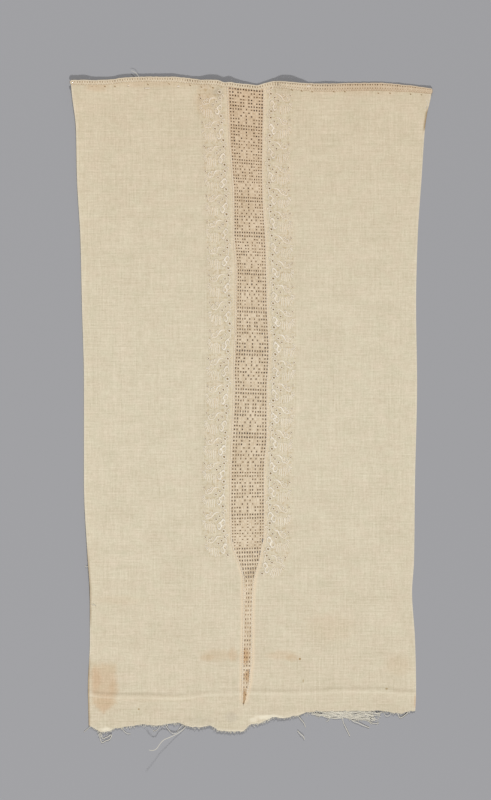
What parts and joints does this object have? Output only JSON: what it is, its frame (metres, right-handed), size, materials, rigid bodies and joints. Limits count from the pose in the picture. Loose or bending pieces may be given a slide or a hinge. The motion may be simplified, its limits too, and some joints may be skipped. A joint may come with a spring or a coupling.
{
  "type": "neck insert",
  "caption": "Flat cloth neck insert with a tapering openwork strip set in a central slit, raised whitework bands beside it, a narrow neck edging and a torn foot.",
  "frame": {"origin": "middle of the panel's outline, on the surface that the panel lies on", "axes": "+Y up the panel to its neck edge, +X to the right of the side that shows, +Z out of that side"},
  "size_m": [0.2172, 0.3933, 0.0049],
  "materials": {
    "cloth": "fine plain-woven unbleached cloth, cream, matt",
    "lace": "cotton crochet, pinkish beige, matt",
    "edging": "cotton crochet edging, cream, matt"
  },
  "bodies": {
    "root": {"ground_cloth": "cloth", "crochet_insertion": "lace", "neck_edging": "edging"}
  },
  "joints": []
}
